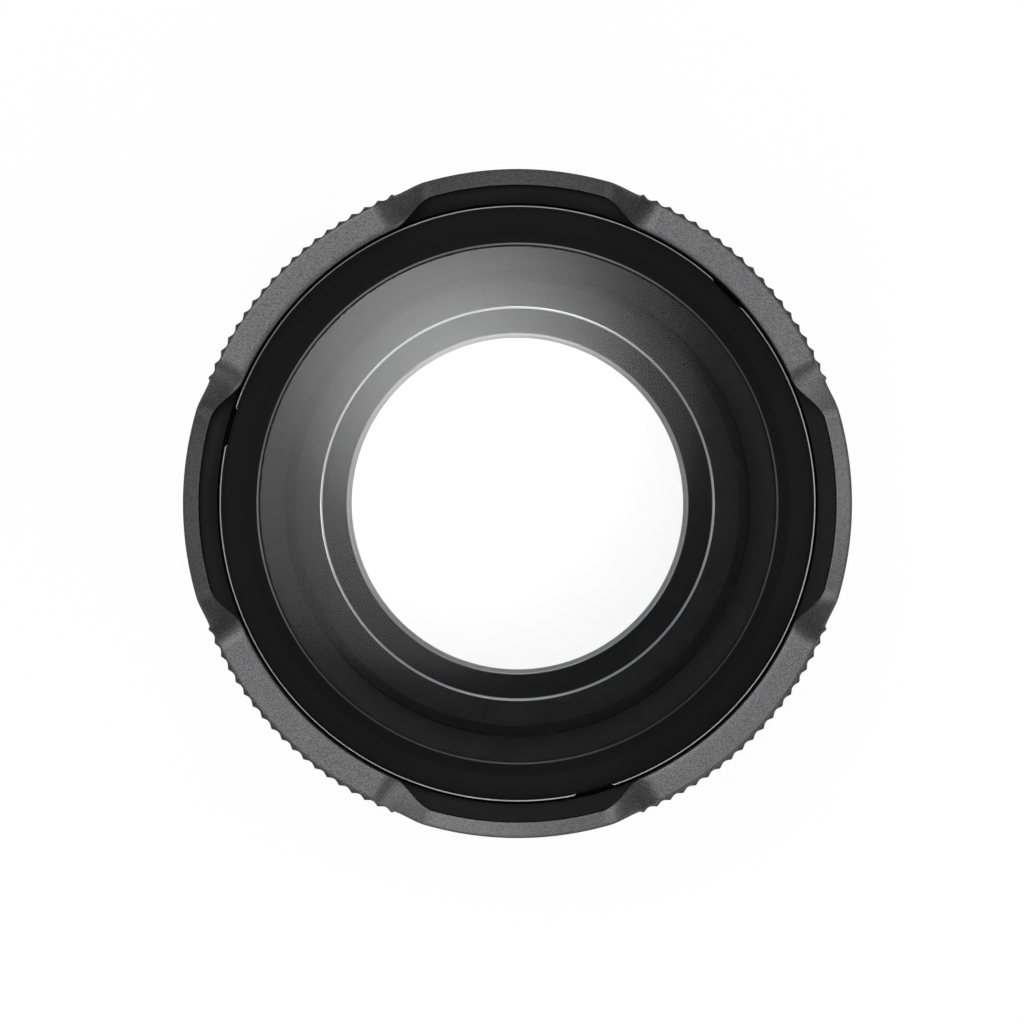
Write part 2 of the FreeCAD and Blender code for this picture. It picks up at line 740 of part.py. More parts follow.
def make_sleeve_retainer():
    """A thin ring on the barrel's end that keeps the cam sleeve on, with two spanner slots."""
    body = new_body("sleeve_retainer")
    turned_round(body, "blank", [
        (barrel_bore, barrel_level), (retainer_radius, barrel_level),
        (retainer_radius, retainer_level), (barrel_bore, retainer_level)])
    slots = new_sketch(body, "spanner_outline", level=retainer_level - retainer_thickness / 2)
    for side in (1, -1):
        draw_box(slots, (retainer_radius - spanner_depth) * side, (retainer_radius + past) * side,
                 -spanner_width / 2, spanner_width / 2)
    cut_up(body, "spanner_slots", slots, retainer_thickness)
    return body


def make_thrust_washer():
    body = new_body("thrust_washer")
    turned_round(body, "blank", [
        (washer_bore, body_level), (washer_radius, body_level),
        (washer_radius, washer_level), (washer_bore, washer_level)])
    return body


def draw_key(sketch, inner, outer, half_angle):
    """A block between two radii with round inner corners."""
    start, end = key_first_angle - half_angle, key_first_angle + half_angle
    corner_turn = key_corner / key_inner * IN_DEGREES
    draw_outline(sketch, [
        polar(inner + key_corner, start), polar(outer, start), polar(outer, end),
        polar(inner + key_corner, end), polar(inner, end - corner_turn), polar(inner, start + corner_turn)],
        {1: (outer, 1), 3: (key_corner, 1), 4: (inner, -1), 5: (key_corner, 1)})


def make_rear_cell():
    """The seat of the rear lens: a foot on the barrel's flange and six keys for the baffle."""
    body = new_body("rear_cell")
    bore = rear_lens_radius + guide_fit
    seat = retainer_outer + seat_fit
    foot = cell_radius
    turned_round(body, "blank", [
        (clear_radius, body_level), (foot, body_level), (foot, body_level + foot_thickness),
        (baffle_radius, body_level + foot_thickness), (baffle_radius, baffle_level),
        (seat, baffle_level), (seat, retainer_seat_level), (bore, retainer_seat_level),
        (bore, lens_seat_level), (clear_radius, lens_seat_level)])
    key = new_sketch(body, "key_outline", level=baffle_level)
    draw_key(key, key_inner, key_outer, key_half_angle)
    post = raised(body, "key", key, baffle_height)
    repeated(body, "keys", [post], key_count)
    slope = baffle_bevel_drop / (baffle_radius - baffle_bevel_start)
    beyond = key_outer + past
    lowest = baffle_top_level - slope * (beyond - baffle_bevel_start)
    turned_round(body, "key_bevel", [
        (baffle_bevel_start, baffle_top_level), (beyond, lowest),
        (beyond, baffle_top_level + past), (baffle_bevel_start, baffle_top_level + past)], cut=True)
    return body


def lens_profile(radius, dome, curve, low, high):
    """Half a lens with a flat rear, a ground rim and a dome, and the side that is its arc."""
    crown = high + curve - half_chord(curve, dome)
    points = [(0, low), (radius, low), (radius, high), (dome, high), (0, crown)]
    return points, {3: (curve, 1)}


def make_lens(label, radius, dome, curve, low, high):
    body = new_body(label)
    points, arcs = lens_profile(radius, dome, curve, low, high)
    turned_round(body, "blank", points, arcs=arcs)
    return body


def make_rear_retainer():
    """The smooth ring that holds the rear lens down. Its face falls towards the light path."""
    body = new_body("rear_retainer")
    top = retainer_seat_level + retainer_height
    turned_round(body, "blank", [
        (retainer_bore, retainer_seat_level), (retainer_outer, retainer_seat_level),
        (retainer_outer, top), (retainer_bore, top - retainer_fall)])
    return body


def make_baffle_ring():
    """The grainy ring round the rear lens, with a bevel, a chamfer and six notches for the keys."""
    body = new_body("baffle_ring")
    bore = retainer_outer + guide_fit
    turned_round(body, "blank", [
        (bore, baffle_level), (baffle_radius, baffle_level),
        (baffle_radius, baffle_top_level - baffle_bevel_drop), (baffle_bevel_start, baffle_top_level),
        (bore + baffle_chamfer, baffle_top_level), (bore, baffle_top_level - baffle_chamfer)])
    notch = new_sketch(body, "notch_outline", level=baffle_level)
    half_angle = key_half_angle + seat_fit / key_inner * IN_DEGREES
    draw_key(notch, key_inner - seat_fit, baffle_radius + past, half_angle)
    cut = cut_up(body, "notch", notch, baffle_height)
    repeated(body, "notches", [cut], key_count)
    return body


def make_cam_sleeve():
    """The sleeve under the focus ring, with three helical grooves that drive the front cell."""
    body = new_body("cam_sleeve")
    turned_round(body, "blank", [
        (sleeve_bore, sleeve_level), (sleeve_radius, sleeve_level), (sleeve_radius, ledge_level),
        (crown_bore, ledge_level), (crown_bore, shelf_level), (sleeve_bore, shelf_level)])
    pitch = cell_travel * WHOLE_TURN / turn_range
    end_room = groove_half_width / sleeve_bore * IN_DEGREES
    end_lift = pitch * end_room / WHOLE_TURN
    middle = pin_height - end_lift
    height = cell_travel + end_lift * 2
    profile = new_sketch(body, "groove_profile", "XZ_Plane", turned=pin_angle - WHOLE_TURN + end_room)
    draw_box(profile, barrel_bore, groove_floor, middle - groove_half_width, middle + groove_half_width)
    before = body.Shape.Volume
    groove = body.newObject("PartDesign::SubtractiveHelix", "cam_sleeve_groove")
    groove.Profile = profile
    groove.ReferenceAxis = (profile, ["V_Axis"])
    groove.Mode = "pitch-height-angle"
    groove.Pitch = pitch.value
    groove.setExpression("Pitch", pitch.formula)
    groove.Height = height.value
    groove.setExpression("Height", height.formula)
    groove.Angle = 0
    groove.LeftHanded = True
    body.Tip = groove
    doc.recompute()
    if body.Shape.Volume >= before:
        raise RuntimeError("cam_sleeve: the groove cuts nothing")
    repeated(body, "grooves", [groove], pin_count)
    return body


def make_focus_ring():
    """The grip: four raised knurled pads, and between them four lower lobes that slope outwards."""
    body = new_body("focus_ring")
    points, arcs = [], {}
    edge = lobe_end_angle + pad_step_angle
    for quarter in range(int(pad_count.value)):
        middle = RIGHT_ANGLE * quarter
        arcs[len(points)] = (lobe_radius, 1)
        points += [polar(lobe_radius, middle - lobe_half_angle), polar(lobe_radius, middle + lobe_half_angle),
                   polar(lobe_end_radius, middle + lobe_end_angle)]
        arcs[len(points)] = (knurl_radius, 1)
        points += [polar(knurl_radius, middle + edge), polar(knurl_radius, middle + RIGHT_ANGLE - edge),
                   polar(lobe_end_radius, middle + RIGHT_ANGLE - lobe_end_angle)]
    outline = new_sketch(body, "outline", level=ring_level)
    draw_outline(outline, points, arcs)
    bore = sleeve_radius + seat_fit
    draw_circle(outline, (0, 0), bore)
    raised(body, "blank", outline, pad_level - ring_level)

    crown = new_sketch(body, "crown_outline", level=ledge_level)
    middle_radius = (bore + crown_bore) / 2
    root = (bore + pad_face_radius) / 2
    draw_outline(crown, [
        polar(root, window_flat), polar(root, RIGHT_ANGLE - window_flat),
        polar(bore, RIGHT_ANGLE - window_flat), polar(middle_radius, RIGHT_ANGLE - window_middle),
        polar(crown_bore, RIGHT_ANGLE - window_end), polar(crown_bore, window_end),
        polar(middle_radius, window_middle), polar(bore, window_flat)],
        {0: (root, 1), 2: (window_sweep, -1), 3: (window_sweep, 1), 4: (crown_bore, -1),
         5: (window_sweep, 1), 6: (window_sweep, -1)})
    crown_pad = raised(body, "crown", crown, pad_level - ledge_level)
    repeated(body, "crowns", [crown_pad], pad_count)

    beyond = lobe_radius + past
    shoulder = pad_level - knurl_shoulder
    bevel = pad_rim_radius - pad_face_radius
    turned_round(body, "shoulder", [
        (pad_rim_radius, shoulder), (beyond, shoulder), (beyond, pad_level + past),
        (pad_face_radius, pad_level + past), (pad_face_radius, pad_level),
        (pad_rim_radius, pad_level - bevel)], cut=True)

    lobe = new_sketch(body, "lobe_outline", "YZ_Plane")
    foot_level = pad_level - lobe_drop
    lobe.AttachmentOffset = PLACEMENT(VECTOR(0, foot_level.value, sleeve_radius.value),
                                      ROTATION(VECTOR(1, 0, 0), lobe_tilt.value))
    lobe.setExpression("AttachmentOffset.Base.y", foot_level.formula)
    lobe.setExpression("AttachmentOffset.Base.z", sleeve_radius.formula)
    lobe.setExpression("AttachmentOffset.Rotation.Angle", lobe_tilt.formula)
    rise = lobe_drop + pad_height
    run = rise * cosine(slope_angle) / sine(slope_angle)
    draw_outline(lobe, [(-slope_foot, 0), (slope_foot, 0), (slope_foot + run, rise),
                        (-(slope_foot + run), rise)])
    lobe_cut = cut_up(body, "lobe", lobe, lobe_cut_width, both_ways=True)
    repeated(body, "lobes", [lobe_cut], pad_count)

    valley = new_sketch(body, "valley_outline", level=ring_level + knurl_margin)
    sweep = knurl_pitch * (knurl_ribs - 2)
    first = (RIGHT_ANGLE - sweep) / 2
    wing = knurl_pitch * knurl_flare / 2
    rise = (knurl_radius - knurl_valley) * knurl_flare
    draw_outline(valley, [
        polar(knurl_valley, first), polar(knurl_valley + rise, first + wing),
        polar(knurl_radius + rise, first), polar(knurl_valley + rise, first - wing)])
    valley_cut = cut_up(body, "valley", valley, pad_level - ring_level)
    knurl = body.newObject("PartDesign::MultiTransform", "focus_ring_knurl")
    ribs = round_pattern(body, "knurl_ribs", knurl_ribs - 1, sweep)
    pads = round_pattern(body, "knurl_pads", pad_count, WHOLE_TURN)
    knurl.Originals = [valley_cut]
    knurl.Transformations = [ribs, pads]
    body.Tip = knurl
    doc.recompute()
    return body


def make_front_cell():
    """The tube that slides in the barrel, its mouth a cone, with a flange for the bezel."""
    body = new_body("front_cell")
    turned_round(body, "blank", [
        (cell_bore, cell_rear_level), (cell_radius, cell_rear_level), (cell_radius, cell_flange_level),
        (cell_flange_radius, cell_flange_level), (cell_flange_radius, cell_level),
        (cell_mouth, cell_level), (cell_bore, cell_rear_level + cell_cone_start)])
    hole = new_sketch(body, "pin_hole_outline", "XZ_Plane", turned=pin_angle + FROM_FRONT,
                      out=cell_radius - pin_depth)
    draw_circle(hole, (0, pin_height), pin_radius + seat_fit)
    cut = cut_up(body, "pin_hole", hole, pin_depth + past)
    repeated(body, "pin_holes", [cut], pin_count)
    return body


def make_front_bezel():
    """The plain ring round the front lens, with a bevelled mouth and a thin notched rim."""
    body = new_body("front_bezel")
    lens_room = front_lens_radius + guide_fit
    edge_level = bezel_level - bezel_edge_drop
    corner = bezel_edge_radius - bezel_bore
    turned_round(body, "blank", [
        (lens_room, cell_level), (bezel_radius, cell_level), (bezel_radius, bezel_level + rim_height),
        (rim_radius, bezel_level + rim_height), (rim_radius, bezel_level),
        (bezel_facet_radius, bezel_level), (bezel_edge_radius, edge_level),
        (bezel_bore, edge_level - corner), (bezel_bore, lens_edge_level), (lens_room, lens_edge_level)])
    notch = new_sketch(body, "notch_outline", level=bezel_level)
    beyond = bezel_radius + past
    start, end = pin_angle - notch_half_angle, pin_angle + notch_half_angle
    bottom = bezel_radius - notch_depth
    draw_outline(notch, [polar(bottom, start), polar(beyond, start), polar(beyond, end), polar(bottom, end)],
                 {1: (beyond, 1), 3: (bottom, -1)})
    cut = cut_up(body, "notch", notch, rim_height + past)
    repeated(body, "notches", [cut], notch_count)
    return body


def place_round(body, angle):
    """Turn a part that was made on +X round the axis, and raise it to the pins' height."""
    body.Placement = PLACEMENT(VECTOR(0, 0, pin_height.value), ROTATION(UP, angle.value))
    body.setExpression("Placement.Base.z", pin_height.formula)
    body.setExpression("Placement.Rotation.Angle", angle.formula)


def make_pin_and_roller(number):
    """A cam pin in the front cell, pointing out, and the roller on it."""
    angle = pin_angle + number * WHOLE_TURN / pin_count - WHOLE_TURN
    roller_end = groove_floor - guide_fit * 2
    roller_start = cell_radius + slide_fit
    made = []
    for label, profile in (
            ("cam_pin", [(0, cell_radius - pin_depth), (pin_radius, cell_radius - pin_depth),
                         (pin_radius, roller_end), (0, roller_end)]),
            ("cam_roller", [(pin_radius + seat_fit, roller_start), (roller_radius, roller_start),
                            (roller_radius, roller_end), (pin_radius + seat_fit, roller_end)])):
        body = new_body("%s_%d" % (label, number + 1))
        sketch = new_sketch(body, "profile", "XZ_Plane")
        draw_outline(sketch, [(across, along) for along, across in profile])
        feature = body.newObject("PartDesign::Revolution", body.Label + "_blank")
        feature.Profile = sketch
        feature.ReferenceAxis = (sketch, ["H_Axis"])
        feature.Angle = WHOLE_TURN.value
        doc.recompute()
        place_round(body, angle)
        made.append(body)
    return made


def make_everything():
    parts = [make_clip_body()]
    for number, place in enumerate(four_ways(screw_circle, screw_angle)):
        parts.append(make_case_screw(number + 1, place))
    parts += [make_clip_jaw("clip_right", False), make_clip_jaw("clip_left", True)]
    for name, side_x in (("right", 1), ("left", -1)):
        for letter, side_y in (("a", 1), ("b", -1)):
            parts.append(make_spring("clip_spring_%s_%s" % (name, letter), side_x, side_y))
    parts += [make_barrel(), make_sleeve_retainer(), make_thrust_washer(), make_rear_cell()]
    parts.append(make_lens("rear_lens", rear_lens_radius, rear_dome_radius, rear_lens_curve,
                           lens_seat_level, retainer_seat_level))
    parts += [make_rear_retainer(), make_baffle_ring(), make_cam_sleeve(), make_focus_ring()]
    parts.append(make_front_cell())
    parts.append(make_lens("front_lens", front_lens_radius, bezel_bore - guide_fit, front_lens_curve,
                           cell_level, lens_edge_level))
    parts.append(make_front_bezel())
    for number in range(int(pin_count.value)):
        parts += make_pin_and_roller(number)
    return parts


def check_and_write(parts):
    doc.recompute()
    for item in doc.Objects:
        if "Invalid" in item.State or "Error" in item.State:
            raise RuntimeError("%s failed: %s" % (item.Label, item.State))
    for part in parts:
        if part.Shape.isNull() or not part.Shape.isValid():
            raise RuntimeError(part.Label + " has no valid shape")
    os.makedirs("parts", exist_ok=True)
    for part in parts:
        part.Shape.exportStep("parts/%s.step" % part.Label)
        print("%-22s solids %d  volume %.2f" % (part.Label, len(part.Shape.Solids), part.Shape.Volume))


check_and_write(make_everything())
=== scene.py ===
import math

import bmesh
import bpy
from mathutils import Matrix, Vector


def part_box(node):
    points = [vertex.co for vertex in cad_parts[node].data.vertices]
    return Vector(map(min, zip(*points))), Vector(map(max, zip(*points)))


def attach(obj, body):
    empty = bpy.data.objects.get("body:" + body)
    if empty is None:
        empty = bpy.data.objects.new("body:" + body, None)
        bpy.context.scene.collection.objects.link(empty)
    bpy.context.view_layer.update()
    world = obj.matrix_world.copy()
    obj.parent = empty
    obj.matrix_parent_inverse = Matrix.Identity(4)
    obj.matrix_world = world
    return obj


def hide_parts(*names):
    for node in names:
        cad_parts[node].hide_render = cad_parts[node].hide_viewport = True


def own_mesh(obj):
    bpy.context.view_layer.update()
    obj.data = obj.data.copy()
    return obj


bl_info = {
    "name": "Clip-on macro lens",
    "version": (1, 0, 0),
    "blender": (4, 5, 0),
    "location": "3D View > Sidebar > Macro lens",
    "description": "Dresses the macro lens: grip, bezel, glasses, rings, clip, springs and stage",
    "category": "Add Mesh",
}

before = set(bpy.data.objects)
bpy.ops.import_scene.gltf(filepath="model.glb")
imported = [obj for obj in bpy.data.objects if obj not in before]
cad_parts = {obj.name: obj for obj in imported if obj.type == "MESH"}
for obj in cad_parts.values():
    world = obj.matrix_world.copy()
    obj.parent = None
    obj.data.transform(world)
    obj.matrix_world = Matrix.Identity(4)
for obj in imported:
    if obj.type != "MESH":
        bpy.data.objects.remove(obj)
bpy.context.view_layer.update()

MM = 0.001
QUARTERS = 4
LOW, HIGH = 0, 1
HAIR = 0.02 * MM                     # the finest step in a profile, and how near is a match
SMOOTH_BELOW = math.radians(28)      # faces that meet at less are shaded as one surface
ROUND_ABOVE = math.radians(24)       # sharper edges of a CAD copy are rounded
JOIN_BELOW = math.radians(0.6)       # faces of a CAD copy that meet at less become one
SAME_CAD_CORNER = 1e-7               # corners nearer than this, in metres, become one
SAME_SPUN_CORNER = 1e-8
GRAIN_BAND = 0.35, 0.65              # the noise values between which a grain's colour changes
DOME_ROWS = 24                       # rings of faces on a polished dome
DOME_EDGE = 0.03 * MM                # width of the dome's first ring
FLAT_CORNERS = 3                     # corners of a glass's outline before its dome


def millimetres(name, description, value):
    """A distance that a user may change, written in millimetres here."""
    return bpy.props.FloatProperty(name=name, description=description, default=value * MM,
                                   precision=5, subtype="DISTANCE", unit="LENGTH")


def degrees(name, description, value):
    """An angle that a user may change, written in degrees here."""
    return bpy.props.FloatProperty(name=name, description=description,
                                   default=math.radians(value), subtype="ANGLE", unit="ROTATION")


def colour(name, description, value):
    """A colour that a user may change, in linear red, green and blue."""
    return bpy.props.FloatVectorProperty(name=name, description=description, default=value, size=3,
                                         min=0.0, max=1.0, subtype="COLOR")


class GripSizes(bpy.types.PropertyGroup):
    """The grip ring: its pads, lobes, slopes and knurl."""
    bore: millimetres("Bore", "Radius of the seat on the focus sleeve", 20.96)
    crown_bore: millimetres("Crown bore", "Inner radius of the raised pads", 19.75)
    lobe_radius: millimetres("Lobe radius", "Outer radius at a lobe's middle", 22.0)
    lobe_end_radius: millimetres("Lobe end radius", "Outer radius where a lobe meets a pad", 21.77)
    lobe_drop: millimetres("Lobe drop", "How far a lobe's inner edge lies below the pads", 2.0)
    lobe_tilt: degrees("Lobe tilt", "How much a lobe's face slopes outwards", 33)
    lobe_edge: millimetres("Lobe edge", "Width of a lobe's rounded outer edge", 0.12)
    face_radius: millimetres("Pad face radius", "Outer radius of a pad's flat face", 21.62)
    face_bevel: millimetres("Pad bevel", "Width of the bevel round a pad's face", 0.08)
    inner_fillet: millimetres("Inner fillet", "Radius of the soft inner edge", 0.11)
    knurl_tip: millimetres("Knurl tip radius", "Radius at the tips of the ribs", 21.91)
    knurl_valley: millimetres("Knurl valley radius", "Radius between the ribs", 21.73)
    knurl_pitch: degrees("Knurl pitch", "Angle from rib to rib", 2.53)
    knurl_shoulder: millimetres("Knurl shoulder", "How far the ribs start below a pad's face", 0.55)
    knurl_slope: millimetres("Knurl slope", "How far the ribs' ends slope down", 0.75)
    knurl_margin: millimetres("Knurl margin", "Plain band under the ribs", 1.1)
    slope_foot: degrees("Slope foot", "Angle from a lobe's middle to the foot of the slope", 17.2)
    slope_top: degrees("Slope top", "Angle from a lobe's middle to the top of the slope", 24.3)
    sweep_start: degrees("Sweep start", "Angle where the inner edge leaves the bore", 15.4)
    sweep_end: degrees("Sweep end", "Angle where the inner edge reaches the crown", 24.0)


class BezelSizes(bpy.types.PropertyGroup):
    """The front bezel: facet, plain band, rim and notches."""
    mouth: millimetres("Mouth", "Radius of the opening over the front glass", 17.03)
    edge_radius: millimetres("Edge radius", "Outer radius of the bright edge", 17.15)
    facet_radius: millimetres("Facet radius", "Outer radius of the sloping facet", 17.92)
    rim_radius: millimetres("Rim radius", "Inner radius of the thin rim", 19.35)
    radius: millimetres("Radius", "Outer radius", 19.58)
    rim_height: millimetres("Rim height", "How far the rim stands up", 0.3)
    rim_land: millimetres("Rim land", "Width of the bright flat top of the rim", 0.08)
    facet_drop: millimetres("Facet drop", "How far the facet falls", 0.3)
    lip: millimetres("Lip", "Thickness over the glass", 0.7)
    notch_depth: millimetres("Notch depth", "How far the notches cut the rim", 0.15)
    notch_first: degrees("First notch", "Angle of the first notch", 45)
    notch_half: degrees("Notch half width", "Half the width of a notch", 3.65)


class GlassSizes(bpy.types.PropertyGroup):
    """The curves of the two glasses."""
    front_curve: millimetres("Front curve", "Radius of curvature of the front glass", 80.0)
    front_dome: millimetres("Front dome", "Radius of the polished front", 17.06)
    rear_curve: millimetres("Rear curve", "Radius of curvature of the rear glass", 60.0)
    rear_dome: millimetres("Rear dome", "Radius of the polished rear glass", 11.24)


class RingSizes(bpy.types.PropertyGroup):
    """Small edges of the inner rings and of the clip."""
    edge: millimetres("Ring edge", "Bevel on the inner rings", 0.02)
    lip_radius: millimetres("Lip radius", "Radius of the light path at the rear cell's lip", 11.01)
    lip_chamfer: millimetres("Lip chamfer", "Width of the chamfer on the lip", 0.28)
    moulded_edge: millimetres("Moulded edge", "Rounding on the moulded clip parts", 0.12)


class SpringSizes(bpy.types.PropertyGroup):
    """The still end of the jaws' springs and how far a jaw is squeezed in."""
    fixed_end: millimetres("Fixed end", "From the clip's middle to the springs' still end", 1.0)
    travel: millimetres("Travel", "How far a jaw is squeezed in", 1.2)


class Finishes(bpy.types.PropertyGroup):
    """The colours of the finishes."""
    blasted: colour("Blasted black", "Blasted and anodised top of the grip", (0.078, 0.078, 0.0795))
    # painted shade: this near-black stands in for the dark on the outer part of the top's bevel,
    # the step below it and the ribs' sloping ends, which have the grip's own anodised finish
    cut: colour("Cut black", "Cut ends of the knurl's ribs", (0.01, 0.01, 0.0102))
    knurl: colour("Knurl black", "Outer wall and ribs of the grip", (0.03, 0.03, 0.0306))
    bezel: colour("Satin black", "Satin anodised bezel", (0.0055, 0.0055, 0.0057))
    smooth: colour("Smooth black", "Smooth anodised aluminium", (0.004, 0.004, 0.0042))
    matt: colour("Matt black", "Matt inside of the front cell", (0.008, 0.008, 0.0082))
    baffle: colour("Baffle black", "Grainy face of the baffle ring", (0.006, 0.006, 0.0062))
    lip: colour("Pale lip", "Bare lip of the rear cell", (0.42, 0.42, 0.423))
    rim: colour("Rim", "Bright top of the thin rim", (0.26, 0.26, 0.264))
    mouth: colour("Mouth edge", "Fine edge at the bezel's mouth", (0.1, 0.1, 0.102))
    turned: colour("Turned black", "Barrel and sleeve retainer", (0.02, 0.02, 0.021))
    bare: colour("Bare edge", "Edges turned bright after anodising", (0.58, 0.58, 0.59))
    moulding: colour("Moulded black", "Moulded plastic of the clip", (0.022, 0.022, 0.023))
    jaw: colour("Jaw black", "Satin plastic of the jaws", (0.03, 0.03, 0.031))
    steel: colour("Steel", "Spring wire and pins", (0.52, 0.52, 0.53))
    dark_steel: colour("Blackened steel", "Case screws", (0.12, 0.12, 0.125))
    brass: colour("Brass", "Cam rollers", (0.62, 0.46, 0.2))
    washer: colour("Washer", "Off-white plastic of the thrust washer", (0.62, 0.61, 0.57))


class StageSizes(bpy.types.PropertyGroup):
    """The camera, the lamps and the floor."""
    camera_height: millimetres("Camera height", "Height of the camera above the rear face", 1200)
    half_frame: millimetres("Half frame", "Half the width of the frame at the pads", 33.63)
    camera_x: millimetres("Camera across", "Camera's place across the lens", -0.36)
    camera_y: millimetres("Camera along", "Camera's place along the lens", -0.556)
    floor_radius: millimetres("Floor radius", "Radius of the round floor", 2400)


def sizes(name):
    """One group of values, as the scene holds it."""
    return getattr(bpy.context.scene, "lens_" + name)


# Materials

def finish(name, base, roughness, metallic, specular):
    """A plain surface."""
    material = bpy.data.materials.new(name)
    material.use_nodes = True
    shader = material.node_tree.nodes["Principled BSDF"]
    shader.inputs["Base Color"].default_value = (*base, 1)
    shader.inputs["Roughness"].default_value = roughness
    shader.inputs["Metallic"].default_value = metallic
    shader.inputs["Specular IOR Level"].default_value = specular
    return material


def node(material, kind, **values):
    """A new shader node. A value goes to the input of its name, or else to the node's setting."""
    made = material.node_tree.nodes.new(kind)
    for name, value in values.items():
        if name in made.inputs:
            made.inputs[name].default_value = value
        else:
            setattr(made, name, value)
    return made


def link(material, source, output, target, entry):
    """Joins an output of one shader node to an input of another."""
    material.node_tree.links.new(source.outputs[output], target.inputs[entry])


def add_grain(material, grains_per_metre, strength, depth, spread=0.0):
    """A fine blasted or moulded grain in the surface and, where it has a spread, in the colour."""
    shader = material.node_tree.nodes["Principled BSDF"]
    place = node(material, "ShaderNodeTexCoord")
    noise = node(material, "ShaderNodeTexNoise", Scale=grains_per_metre, Detail=1.0, Roughness=0.6)
    bump = node(material, "ShaderNodeBump", Strength=strength, Distance=depth)
    link(material, place, "Object", noise, "Vector")
    link(material, noise, "Fac", bump, "Height")
    link(material, bump, "Normal", shader, "Normal")
    if spread:
        base = shader.inputs["Base Color"].default_value
        ramp = node(material, "ShaderNodeValToRGB")
        ends = zip(ramp.color_ramp.elements, GRAIN_BAND, (1 - spread, 1 + spread))
        for element, position, factor in ends:
            element.position = position
            element.color = (*[channel * factor for channel in base[:3]], 1)
        link(material, noise, "Fac", ramp, "Fac")
        link(material, ramp, "Color", shader, "Base Color")


def add_turning(material, rings_per_metre, depth):
    """The faint rings that a lathe tool leaves round the axis."""
    shader = material.node_tree.nodes["Principled BSDF"]
    place = node(material, "ShaderNodeTexCoord")
    wave = node(material, "ShaderNodeTexWave", wave_type="RINGS", rings_direction="Z",
                Scale=rings_per_metre, Distortion=0.3)
    bump = node(material, "ShaderNodeBump", Strength=0.3, Distance=depth)
    link(material, place, "Object", wave, "Vector")
    link(material, wave, "Fac", bump, "Height")
    link(material, bump, "Normal", shader, "Normal")


def glass_finish(name, coat):
    """Glass that shows what is behind it where it is. The coat makes the reflection.

    A smoother coat leaves noise in the glare of the soft box."""
    material = finish(name, (1, 1, 1), roughness=0.0, metallic=0.0, specular=0.0)
    shader = material.node_tree.nodes["Principled BSDF"]
    for socket, value in (("IOR", 1.0), ("Transmission Weight", 1.0), ("Coat Weight", coat),
                          ("Coat Roughness", 0.12), ("Coat IOR", 1.5)):
        shader.inputs[socket].default_value = value
    return material


# key, material, colour, roughness, metallic, specular, then a texture and its values
FINISH_TABLE = (
    ("blasted", "Blasted_black", "blasted", 0.42, 0.88, 0.5, add_grain, 12000, 0.5, 0.01 * MM, 0.4),
    # painted shade: a near-black, almost unreflecting finish on the bevel's outer part and the
    # ribs' ends, in place of the shade they lie in
    ("cut", "Cut_black", "cut", 0.5, 0.0, 0.02),
    ("knurl", "Knurl_black", "knurl", 0.45, 0.3, 0.3, add_grain, 9000, 0.3, 0.01 * MM, 0.3),
    ("smooth", "Smooth_black", "smooth", 0.45, 0.0, 0.025),
    ("edge", "Mouth_edge", "mouth", 0.45, 0.9, 0.5),
    ("ledge", "Ledge_black", "bezel", 0.5, 0.0, 0.1),
    ("bezel", "Satin_black", "bezel", 0.5, 0.0, 0.04, add_grain, 5000, 0.15, 0.01 * MM),
    ("matt", "Matt_black", "matt", 0.9, 0.0, 0.05, add_grain, 10000, 0.4, 0.01 * MM, 0.4),
    ("baffle", "Grainy_black", "baffle", 0.6, 0.0, 0.06, add_grain, 10000, 0.5, 0.02 * MM, 0.7),
    ("lip", "Pale_lip", "lip", 0.42, 1.0, 0.5),
    ("bare", "Bare_edge", "bare", 0.3, 0.9, 0.5),
    ("rim", "Bright_rim", "rim", 0.5, 0.9, 0.5),
    ("barrel", "Turned_black", "turned", 0.45, 0.3, 0.3, add_turning, 3000, 0.01 * MM),
    ("moulding", "Moulded_black", "moulding", 0.55, 0.0, 0.4, add_grain, 3000, 0.35, 0.03 * MM),
    ("jaw", "Jaw_black", "jaw", 0.4, 0.0, 0.45, add_grain, 3500, 0.2, 0.02 * MM),
    ("steel", "Spring_steel", "steel", 0.28, 1.0, 0.5),
    ("pin", "Ground_steel", "steel", 0.22, 1.0, 0.5, add_turning, 6000, 0.004 * MM),
    ("screw", "Blackened_steel", "dark_steel", 0.35, 0.85, 0.5),
    ("brass", "Turned_brass", "brass", 0.3, 1.0, 0.5, add_turning, 6000, 0.004 * MM),
    ("washer", "Washer_plastic", "washer", 0.45, 0.0, 0.5),
)
# key, material, weight of the coat
GLASS_TABLE = (
    ("glass", "Front_glass", 1.0),
    ("rear_glass", "Rear_glass", 0.5),
    ("clear", "Clear_glass", 0.0),
)
FINISHES = {}


def make_finishes():
    """Every finish of the two tables."""
    look = sizes("finishes")
    for key, name, shade, roughness, metallic, specular, *texture in FINISH_TABLE:
        FINISHES[key] = finish(name, getattr(look, shade), roughness, metallic, specular)
        if texture:
            add, *values = texture
            add(FINISHES[key], *values)
    for key, name, coat in GLASS_TABLE:
        FINISHES[key] = glass_finish(name, coat)


# Meshes

def mix(start, end, share):
    """The value at a share of the way from start to end."""
    return start + (end - start) * share


def blend(x):
    """A smooth climb from 0 to 1."""
    x = min(max(x, 0.0), 1.0)
    return x * x * (3 - 2 * x)


def soft_ramp(x, ease=0.3):
    """A straight climb from 0 to 1 with rounded ends."""
    if x <= -ease:
        return 0.0
    if x < ease:
        return (x + ease) ** 2 / (4 * ease)
    if x <= 1 - ease:
        return x
    if x < 1 + ease:
        return 1 - (1 + ease - x) ** 2 / (4 * ease)
    return 1.0


def clean(mesh, apart):
    """Corners nearer than apart become one, and all faces look outwards."""
    bmesh.ops.remove_doubles(mesh, verts=mesh.verts, dist=apart)
    bmesh.ops.recalc_face_normals(mesh, faces=mesh.faces)


